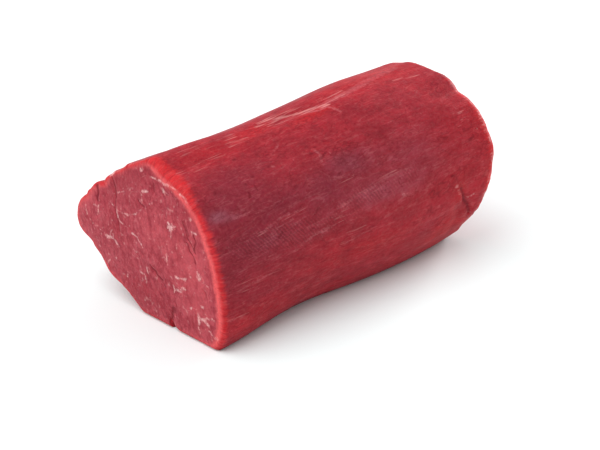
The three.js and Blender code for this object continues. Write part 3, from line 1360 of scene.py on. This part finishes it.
@dataclass(frozen=True)
class RawBeefFinish:
    """Raw beef, trimmed of fat and cut with a knife.

    The outside is muscle under a thin moist skin, which has dried a little to a duller, purplish
    red, and reads as fine long fibres with a soft sheen, part of it painted as pale glints and
    streaks. The cuts are fresh: pinker, finely grained and flecked with white fat. Just round the
    edges light goes through the thin meat, so it is bright there: that glow is painted, strongest
    where the light falls. Creases, pits and wrinkles are painted dark red as the shade in them. The
    finest grain is a tenth of a millimetre in the real meat, and is drawn up to ten times as coarse
    here, so that it shows.
    """

    outside_deep: str = "#91232f"
    bright: Layer = Layer("#a22632", Fray(0.4, 0.3, 0.7))
    dull: Layer = Layer("#842635", Fray(0.4, 0.0, 1.0))
    # Redder patches: partly the meat's own tone, partly painted light on the lit top and from the
    # floor.
    vivid: Layer = Layer("#b41a21", Fray(0.4, 0.0, 1.0))
    lilac_haze: Layer = Layer("#934b59", Fray(0.5, 0.0, 1.0))
    # Painted glow: the red band round the edges of the cuts, where light goes through the thin meat.
    rim_glow_red: Layer = Layer("#c4282e", Fray(1.4, 0.1, 1.1))
    scratch: Layer = Layer("#be6a70", Fray(1.0, 0.5, 1.4, 0.6))
    sinew_film: Layer = Layer(FILM_AND_SHEEN_WHITE, Fray(2.2, 0.2, 1.2, 0.07))
    # Painted glints: pale specks standing in for the sheen of the moist skin.
    painted_glints: Layer = Layer(FILM_AND_SHEEN_WHITE, Fray(0.1, 0.3, 0.75, 0.06))
    # Painted shade in fine wrinkles.
    wrinkle_shade: Layer = Layer(CREASE_SHADE_RED, Fray(2.0, 0.3, 1.4, 0.45))
    cut_deep: str = "#90303b"
    cut_pale: Layer = Layer("#ad4650", Fray(0.5, 0.3, 0.7))
    cut_bright: Layer = Layer("#ba4f57", Fray(0.8, 0.1, 0.9))
    cut_dusky: Layer = Layer("#8f2e38", Fray(0.8, 0.1, 0.9))
    fat_web: Layer = Layer(FAT_WHITE, Fray(0.5, 0.35, 0.75, 0.16))
    fat_specks: Layer = Layer(FAT_WHITE, Fray(0.3, 0.62, 0.8, 0.2))
    # Painted glow: the pale band just inside the edges of the cuts.
    rim_glow_pale: Layer = Layer("#de5b5d", Fray(0.6, 0.0, 1.1))
    # Painted shade in the creases of the cuts and in pits.
    crease: Layer = Layer(CREASE_SHADE_RED, Fray(0.6, 0.45, 1.15, 0.85))
    # Pale membrane, and painted sheen along the top ridge and the far rim.
    film: Layer = Layer(FILM_AND_SHEEN_WHITE, Fray(4.0, 0.9, 2.3, 0.6))
    fat: Layer = Layer(FAT_WHITE, Fray(2.1, 0.5, 1.4, 0.76))
    rib_fray: Fray = Fray(2.6, 0.2, 1.0)
    edge_fray: Fray = Fray(2.0, -0.2, 2.4)
    bundles: Pattern = Pattern((45.0, 5.0, 5.0), 3.0)
    strands: Pattern = Pattern((6.0, 1.3, 1.3), 3.0, 0.55)
    threads: Pattern = Pattern((14.0, 0.8, 0.8), 2.0, 0.6)
    clouds: Pattern = Pattern((20.0, 11.0, 11.0), 3.0)
    blotches: Pattern = Pattern((6.0, 4.0, 4.0), 3.0)
    veil: Pattern = Pattern((1.6, 1.2, 1.2), 3.0, 0.7)
    teeth: Pattern = Pattern((9.0, 1.2, 1.2), 2.0)
    sinews: Sinews = Sinews(Pattern((18.0, 2.8, 2.8), 2.0), 0.035)
    wrinkles: Sinews = Sinews(Pattern((7.0, 3.4, 3.4), 2.0), 0.05)
    ribs: Ribs = Ribs(1.3, -30.0)
    speckle: Pattern = Pattern((0.9, 0.9, 0.9), 2.0, 0.6)
    grain: Pattern = Pattern((3.0, 1.5, 2.4), 3.0, 0.65, -17.0)
    mottle: Pattern = Pattern((8.0, 4.5, 6.0), 2.0, 0.55, -17.0)
    beads: Pattern = Pattern((1.8, 1.8, 1.8), 4.0, 0.7)
    specks: Pattern = Pattern((1.9, 1.9, 1.9), 1.0, 0.5)
    web: Web = Web((5.0, 4.0, 5.5))
    bundle_depth: float = 0.035
    blotch_depth: float = 0.058
    strand_depth: float = 0.035
    outside_speckle_depth: float = 0.05
    hatch_depth: float = 0.065
    cut_speckle_depth: float = 0.065
    roughness: Range = (0.38, 0.56)
    rough_clouds: Range = (0.3, 0.7)
    refraction: float = 1.38
    shine: float = 0.09
    bump_strength: float = 0.6
    bump_height: float = 0.0003
    light_share: float = 0.35
    light_depth: float = 0.0022
    light_reach: tuple[float, float, float] = (1.0, 0.25, 0.2)

    def sources(self, tree: Tree) -> Sources:
        """Adds what the finish is made from: the mesh's masks, and each pattern on its places.

        The hatching is the ribs where they show, and the patterns' middle value elsewhere.

        Args:
            tree: the material's node tree.

        Returns:
            The value of each mask and pattern, by its name.
        """
        place = add_node(tree, "TexCoord").outputs["Object"]
        fibres = add_node(tree, "Attribute", attribute_name="fibres").outputs["Vector"]
        at = {name: add_node(tree, "Attribute", attribute_name=name).outputs["Fac"] for name in MASKS}
        at |= {name: getattr(self, name).build(tree, fibres) for name in ALONG_FIBRES}
        at |= {name: getattr(self, name).build(tree, place) for name in LAID_EVENLY}
        ribbed = self.rib_fray.share(tree, at["hatch"], at["veil"])
        inputs = {"Factor": ribbed, NUMBER_BELOW: MIDDLE, NUMBER_ABOVE: at["ribs"]}
        at["hatching"] = add_node(tree, "Mix", inputs, data_type="FLOAT").outputs[0]
        return at

    def outside_colour(self, tree: Tree, at: Sources) -> Socket:
        """The outside: layers laid over a deep red, then shaded, with the painted shade of wrinkles
        over them.

        Args:
            tree: the material's node tree.
            at: the value of each mask and pattern.

        Returns:
            The colour.
        """
        colour = laid_over(
            tree,
            linear(self.outside_deep),
            (self.bright, at["clouds"], at["blotches"]),
            (self.dull, at["dull"], at["blotches"]),
            (self.vivid, at["vivid"], at["blotches"]),
            (self.lilac_haze, at["haze"], at["blotches"]),
            (self.rim_glow_red, at["flush"], at["teeth"]),
            (self.scratch, at["scratch"], at["beads"]),
            (self.sinew_film, at["sinews"], at["blotches"]),
            (self.painted_glints, at["veil"], at["clouds"]),
        )
        colour = shaded(
            tree,
            colour,
            (at["bundles"], self.bundle_depth),
            (at["blotches"], self.blotch_depth),
            (at["strands"], self.strand_depth),
            (at["speckle"], self.outside_speckle_depth),
            (at["hatching"], self.hatch_depth),
        )
        return laid_over(tree, colour, (self.wrinkle_shade, at["wrinkles"], at["clouds"]))

    def cut_colour(self, tree: Tree, at: Sources) -> Socket:
        """The cut: layers laid over a dull red, the last of them the painted glow inside the edge, then
        shaded by the speckle.

        The web of fat is multiplied by the mottle, so it comes and goes.

        Args:
            tree: the material's node tree.
            at: the value of each mask and pattern.

        Returns:
            The colour.
        """
        inputs = {0: at["web"], 1: at["mottle"]}
        webbed = add_node(tree, "Math", inputs, operation="MULTIPLY").outputs[0]
        colour = laid_over(
            tree,
            linear(self.cut_deep),
            (self.cut_pale, at["grain"], at["mottle"]),
            (self.cut_bright, at["pale"], at["mottle"]),
            (self.cut_dusky, at["dusky"], at["mottle"]),
            (self.fat_web, webbed, at["beads"]),
            (self.fat_specks, at["specks"], at["mottle"]),
            (self.rim_glow_pale, at["blush"], at["grain"]),
        )
        return shaded(tree, colour, (at["speckle"], self.cut_speckle_depth))

    def colour(self, tree: Tree, at: Sources, on_cut: Socket) -> Socket:
        """The outside's colour and the cut's, with the painted shade of creases, pale membrane with
        painted sheen, and fat over both.

        Args:
            tree: the material's node tree.
            at: the value of each mask and pattern.
            on_cut: the cut's share.

        Returns:
            The colour.
        """
        outside, inside = self.outside_colour(tree, at), self.cut_colour(tree, at)
        inputs = {"Factor": on_cut, COLOUR_BELOW: outside, COLOUR_ABOVE: inside}
        return laid_over(
            tree,
            add_node(tree, "Mix", inputs, data_type="RGBA").outputs[COLOUR_OUT],
            (self.crease, at["crease"], at["beads"]),
            (self.film, at["film"], at["threads"]),
            (self.fat, at["fat"], at["beads"]),
        )

    def bump(self, tree: Tree, at: Sources, on_cut: Socket) -> Socket:
        """The finest relief: strands and ribs outside, grain on the cut, and speckle over both.

        Args:
            tree: the material's node tree.
            at: the value of each mask and pattern.
            on_cut: the cut's share.

        Returns:
            The normal.
        """
        inputs = {0: at["strands"], 1: at["hatching"]}
        relief = add_node(tree, "Math", inputs, operation="ADD").outputs[0]
        inputs = {"Factor": on_cut, NUMBER_BELOW: relief, NUMBER_ABOVE: at["grain"]}
        relief = add_node(tree, "Mix", inputs, data_type="FLOAT").outputs[0]
        relief = add_node(tree, "Math", {0: relief, 1: at["speckle"]}, operation="ADD").outputs[0]
        inputs = {"Height": relief, "Strength": self.bump_strength, "Distance": self.bump_height}
        return add_node(tree, "Bump", inputs).outputs[0]

    def material(self) -> bpy.types.Material:
        """Builds the node material, in which the outside and the cut meet along a frayed edge.

        The clouds make the meat rougher and smoother.

        Returns:
            The material, which reads the mesh's attributes for where each finish lies.
        """
        material = bpy.data.materials.new("raw_beef_trimmed_and_cut")
        material.use_nodes = True
        tree = material.node_tree
        tree.nodes.clear()
        at = self.sources(tree)
        inwards = add_node(tree, "Math", {0: at["edge"], 1: -1.0}, operation="MULTIPLY").outputs[0]
        on_cut = self.edge_fray.share(tree, inwards, at["teeth"])
        inputs = {
            "Value": at["clouds"],
            "From Min": self.rough_clouds[0],
            "From Max": self.rough_clouds[1],
            "To Min": self.roughness[0],
            "To Max": self.roughness[1],
        }
        rough = add_node(tree, "MapRange", inputs).outputs[0]
        inputs = {
            "Base Color": self.colour(tree, at, on_cut),
            "Roughness": rough,
            "IOR": self.refraction,
            "Specular IOR Level": self.shine,
            "Subsurface Weight": self.light_share,
            "Subsurface Radius": self.light_reach,
            "Subsurface Scale": self.light_depth,
            "Normal": self.bump(tree, at, on_cut),
        }
        shader = add_node(tree, "BsdfPrincipled", inputs)
        add_node(tree, "OutputMaterial", {"Surface": shader.outputs[0]})
        return material


Glow = tuple[tuple[float, float], ...]


def glow_at(angle: np.ndarray, glow: Glow) -> np.ndarray:
    """How strong a band of painted glow is at each angle, blended between the angles where it is given.
    """
    return np.interp(angle, *zip(*glow))


def closed_faces(rings: int, around: int) -> list[list[int]]:
    """The faces of a closed grid: quads between its rings, and a fan of triangles at each end.

    Args:
        rings: how many rings there are.
        around: how many vertices a ring has.

    Returns:
        Each face's vertices, which are numbered ring by ring, then the two middles of the fans.
    """
    here = np.arange((rings - 1) * around).reshape(rings - 1, around)
    beside = np.roll(here, -1, 1)
    quads = np.stack([here, beside, beside + around, here + around], -1).reshape(-1, 4)
    first = np.arange(around)
    last = first + (rings - 1) * around
    near_fan = np.stack([np.full(around, rings * around), np.roll(first, -1), first], -1)
    far_fan = np.stack([np.full(around, rings * around + 1), last, np.roll(last, -1)], -1)
    return [*quads.tolist(), *near_fan.tolist(), *far_fan.tolist()]


def at_vertices(values: np.ndarray) -> np.ndarray:
    """A grid's values in the order of the mesh's vertices: ring by ring, then the two middles."""
    rings = values[1:-1].reshape(-1, *values.shape[2:])
    return np.concatenate([rings, values[0, :1], values[-1, :1]])


@dataclass
class Tenderloin:
    """The piece of meat: its form, the relief of its outside and cuts, and where finishes lie."""

    form: MuscleForm = MuscleForm()
    outside: Outside = Outside()
    cut_face: CutFace = CutFace()
    finish: RawBeefFinish = RawBeefFinish()
    node: str = "tenderloin"
    body: str = "root"
    slot: str = "raw_beef"
    # How strong the painted glow round each cut is, by angle: strongest where the light falls on the
    # edge.
    near_blush: Glow = (
        *((0, 0.6), (40, 0.5), (80, 0.4), (98, 0.8), (212, 1.0)),
        *((232, 0.6), (250, 0.3), (320, 0.5), (360, 0.6)),
    )
    near_flush: Glow = (
        *((0, 1.0), (60, 0.9), (100, 1.0), (212, 1.0)),
        *((240, 0.6), (265, 0.7), (300, 0.9), (360, 1.0)),
    )
    far_blush: Glow = (
        *((0, 0.3), (90, 0.4), (120, 0.9), (175, 1.0)),
        *((200, 0.6), (240, 0.2), (300, 0.2), (360, 0.3)),
    )
    far_flush: Glow = (
        *((0, 0.5), (90, 0.6), (120, 0.4), (150, 1.0), (175, 1.0)),
        *((200, 0.7), (240, 0.3), (300, 0.3), (360, 0.5)),
    )
    blush_starts: Range = (-5.6, -1.9)
    blush_ends: Range = (-1.6, 1.6)
    flush_starts: Range = (-3.2, -0.8)
    flush_ends: Range = (-0.8, 3.6)
    turned_in: float = 1.5
    turned_in_towards: float = 132.0
    turned_in_spread: float = 20.0
    faint_blush_inset: float = 2.4
    far_rim_width: float = 2.6
    crown_rim_width: float = 3.6
    crown_rim_towards: float = 112.0
    crown_rim_spread: float = 16.0
    edge_limits: Range = (-9.0, 9.0)
    relief_turns: Range = (-0.6, 0.9)
    outside_starts: Range = (-1.6, -0.6)
    cut_starts: Range = (-0.6, 0.4)
    floor_fade: float = 3.0

    def relief(self, grid: Grid) -> np.ndarray:
        """The height of the relief everywhere, in millimetres.

        The outside's relief gives way to each cut's across the rounded rim, and all of it fades
        where the meat lies on the floor, with the square of the height there.

        Args:
            grid: the smooth surface.

        Returns:
            The height of each point above the smooth surface.
        """
        height = self.outside.height(self.form, grid)
        for cut, gap in ((Cut.NEAR, grid.near_gap), (Cut.FAR, grid.far_gap)):
            share = smooth_step(-gap, *self.relief_turns)
            height = height * (1.0 - share) + self.cut_face.height(grid, cut) * share
        lift = np.clip(grid.points[..., 2] / self.floor_fade, 0.0, 1.0)
        return height * lift * lift

    def rims(self, grid: Grid) -> dict[str, np.ndarray]:
        """Where the bands of painted glow along the edges of the cuts lie.

        The edge is the way out from the middle of the nearer rounded rim, in millimetres: above 0
        on the outside and below 0 on the cut. Where the outside is turned in over the near cut, by
        a hill around an angle, it is shifted that far on to the cut. The glow is painted light, as if
        light went through the thin meat: a pale band on the cut and a red one around the edge. Each
        rises and falls smoothly between its limits, times its strength, which is blended between the
        angles where it is given and is greatest where the light falls. The pale band reaches in less
        where it is faint. The red band is wider all along the far edge, and where the top of the near
        edge turns over, by a hill around the crown.

        Args:
            grid: the smooth surface.

        Returns:
            The edge, and the pale and the red bands of painted glow.
        """
        nearer = np.abs(grid.near_gap) < np.abs(grid.far_gap)
        edge = np.where(nearer, grid.near_gap, grid.far_gap)
        turned_in = hill(turn(grid.angle, self.turned_in_towards), self.turned_in_spread)
        edge = edge + nearer * self.turned_in * turned_in
        blush_glow, flush_glow = (
            np.where(nearer, glow_at(grid.angle, near), glow_at(grid.angle, far))
            for near, far in ((self.near_blush, self.far_blush), (self.near_flush, self.far_flush))
        )
        crown = hill(turn(grid.angle, self.crown_rim_towards), self.crown_rim_spread)
        wider = np.where(nearer, self.crown_rim_width * crown, self.far_rim_width)
        inset = self.faint_blush_inset * (1.0 - blush_glow)
        rising = smooth_step(edge - inset, *self.blush_starts)
        blush = rising * (1.0 - smooth_step(edge, *self.blush_ends))
        falling = 1.0 - smooth_step(edge - wider, *self.flush_ends)
        flush = smooth_step(edge, *self.flush_starts) * falling
        bands = {"blush": blush * blush_glow, "flush": flush * flush_glow}
        return {"edge": np.clip(edge, *self.edge_limits), **bands}

    def masks(self, grid: Grid) -> dict[str, np.ndarray]:
        """Where each finish lies, with the painted light and shade: the glow round the edges, the
        sheen, the lit patches, and the shade in creases and pits.

        Args:
            grid: the smooth surface.

        Returns:
            An array for each of the masks, by its name.
        """
        x = grid.along * self.form.length
        angle_mm = grid.angle * MM_PER_DEGREE
        across, up = grid.points[..., 1], grid.points[..., 2]
        look = self.outside
        outside = smooth_step(np.minimum(grid.near_gap, grid.far_gap), *self.outside_starts)
        fat = closest([*look.flecks, *look.back_flecks.strokes()], x, angle_mm) * outside
        # Painted shade: the pits outside, and below the creases of the cuts.
        crease = closest(look.pits, x, angle_mm) * outside
        for cut, gap in ((Cut.NEAR, grid.near_gap), (Cut.FAR, grid.far_gap)):
            on_cut = smooth_step(-gap, *self.cut_starts)
            marbling = closest(self.cut_face.marbling(cut), across, up, ON_CUTS)
            fat = np.maximum(fat, marbling * on_cut)
            folds = closest(self.cut_face.folds(cut), across, up, ON_CUTS)
            crease = np.maximum(crease, folds * on_cut)
        film = closest([*look.film, *look.back_film_and_sheen.strokes()], x, angle_mm)
        return {
            **self.rims(grid),
            "fat": fat,
            "crease": crease,
            "film": film * outside,
            "scratch": closest([*look.scratches, *look.back_scratches.strokes()], x, angle_mm),
            "dull": patchwork([*look.dull, *look.back_dull.patches()], x, grid.angle),
            "vivid": patchwork([*look.vivid, *look.back_vivid.patches()], x, grid.angle),
            "haze": patchwork(look.haze, x, grid.angle),
            "hatch": patchwork(look.hatch, x, grid.angle),
            "pale": patchwork(self.cut_face.pale, across, up),
            "dusky": patchwork(self.cut_face.dusky, across, up),
        }

    def points(self, grid: Grid) -> np.ndarray:
        """The dressed surface: each point of the smooth one, moved along its normal by the relief.

        The smooth surface is first moved so that its box's middle and bottom are the CAD solid's.

        Args:
            grid: the smooth surface.

        Returns:
            The points, in millimetres, none of them below the floor.
        """
        low, high = (np.array(corner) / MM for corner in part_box(self.node))
        own_low, own_high = grid.points.min((0, 1)), grid.points.max((0, 1))
        shift = (low + high - own_low - own_high) / 2.0
        shift[2] = low[2] - own_low[2]
        points = grid.points + normals_of(grid.points) * self.relief(grid)[..., None] + shift
        points[..., 2] = np.maximum(points[..., 2], low[2])
        return points

    def mesh(self) -> bpy.types.Mesh:
        """Makes the closed mesh: the grid's rings, with a middle of its own for each cut.

        Returns:
            The mesh, in metres, smooth shaded, with its attributes.
        """
        grid = self.form.grid()
        points = self.points(grid)
        rings, around = points.shape[:2]
        middles = np.stack([points[0].mean(0), points[-1].mean(0)])
        vertices = np.concatenate([points[1:-1].reshape(-1, 3), middles]) * MM
        faces = closed_faces(rings - 2, around)
        mesh = bpy.data.meshes.new(self.node)
        mesh.from_pydata(vertices, [], faces)
        mesh.polygons.foreach_set("use_smooth", np.ones(len(faces), bool))
        for name, values in self.masks(grid).items():
            layer = mesh.attributes.new(name, "FLOAT", "POINT")
            layer.data.foreach_set("value", at_vertices(values).astype(np.float32))
        places = at_vertices(self.outside.fibre_places(self.form, grid))
        layer = mesh.attributes.new("fibres", "FLOAT_VECTOR", "POINT")
        layer.data.foreach_set("vector", places.astype(np.float32).ravel())
        mesh.update()
        return mesh

    def build(self) -> bpy.types.Object:
        """Makes the meat, dresses it and puts it in place of its CAD solid.

        Returns:
            The piece.
        """
        piece = bpy.data.objects.new("tenderloin_meat", self.mesh())
        bpy.context.scene.collection.objects.link(piece)
        piece.data.materials.append(self.finish.material())
        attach(piece, self.body)
        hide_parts(self.node)
        return piece


@dataclass(frozen=True)
class SoftLight:
    """A large soft lamp: which way it lies from the meat, how far, how wide and how strong."""

    name: str
    towards: tuple[float, float, float]
    distance: float
    width: float
    power: float

    def build(self, aim: Vector) -> None:
        """Hangs the lamp and turns it to the aim.

        Args:
            aim: the place that it lies away from and shines at, in metres.
        """
        lamp = bpy.data.lights.new(self.name, "AREA")
        lamp.shape = "DISK"
        lamp.size = self.width
        lamp.energy = self.power
        holder = bpy.data.objects.new(self.name, lamp)
        holder.location = aim + Vector(self.towards).normalized() * self.distance
        holder.rotation_euler = (aim - holder.location).to_track_quat("-Z", "Y").to_euler()
        bpy.context.scene.collection.objects.link(holder)


@dataclass
class Studio:
    """The white floor, the even sky, two soft lamps and the camera at the photograph's angle."""

    azimuth: float = -46.0
    elevation: float = 26.0
    distance: float = 0.6356
    nearest: float = 0.01
    lens_mm: float = 84.0
    aim: tuple[float, float, float] = (0.0280, 0.0224, 0.0016)
    floor_size: float = 6.0
    floor_colour: str = "#eef5f5"
    sky_colour: str = "#ffffff"
    sky_strength: float = 0.58
    lamp_aim: tuple[float, float, float] = (0.0, 0.0, 0.03)
    lamps: tuple[SoftLight, ...] = (
        SoftLight("softbox", (-0.54, 0.2, 0.82), 1.2, 1.5, 14.0),
        SoftLight("low_softbox", (0.966, 0.0, 0.259), 1.2, 0.6, 13.0),
    )

    def floor(self) -> None:
        """Lays the floor: one wide square in matt white card."""
        half = self.floor_size / 2
        corners = [(-half, -half, 0.0), (half, -half, 0.0), (half, half, 0.0), (-half, half, 0.0)]
        mesh = bpy.data.meshes.new("studio_floor")
        mesh.from_pydata(corners, [], [(0, 1, 2, 3)])
        material = bpy.data.materials.new("matt_white_card")
        material.use_nodes = True
        shader = material.node_tree.nodes["Principled BSDF"]
        shader.inputs["Base Color"].default_value = linear(self.floor_colour)
        shader.inputs["Roughness"].default_value = 1.0
        shader.inputs["Specular IOR Level"].default_value = 0.0
        mesh.materials.append(material)
        floor = bpy.data.objects.new("studio_floor", mesh)
        bpy.context.scene.collection.objects.link(floor)

    def camera(self) -> None:
        """Sets the camera back from its aim along the photograph's line of sight."""
        data = bpy.data.cameras.new("photo_camera")
        data.lens = self.lens_mm
        data.clip_start = self.nearest
        turned, raised = math.radians(self.azimuth), math.radians(self.elevation)
        back = Vector(
            (
                math.sin(turned) * math.cos(raised),
                -math.cos(turned) * math.cos(raised),
                math.sin(raised),
            )
        )
        camera = bpy.data.objects.new("photo_camera", data)
        camera.location = Vector(self.aim) + back * self.distance
        camera.rotation_euler = (-back).to_track_quat("-Z", "Y").to_euler()
        bpy.context.scene.collection.objects.link(camera)
        bpy.context.scene.camera = camera

    def sky(self) -> None:
        """Lights the scene evenly from all around with white."""
        world = bpy.data.worlds.new("studio_sky")
        world.use_nodes = True
        background = world.node_tree.nodes["Background"]
        background.inputs["Color"].default_value = linear(self.sky_colour)
        background.inputs["Strength"].default_value = self.sky_strength
        bpy.context.scene.world = world

    def build(self) -> None:
        """Sets up the camera, floor, sky and lamps."""
        self.camera()
        self.floor()
        self.sky()
        for lamp in self.lamps:
            lamp.build(Vector(self.lamp_aim))
        bpy.context.scene.view_settings.view_transform = "Standard"


def main() -> None:
    """Builds the studio and the meat, and reports each piece."""
    logging.basicConfig(level=logging.INFO, format="%(name)s: %(message)s")
    Studio().build()
    piece = Tenderloin().build()
    LOG.info("%s: %d faces", piece.name, len(piece.data.polygons))


if __name__ == "__main__":
    main()
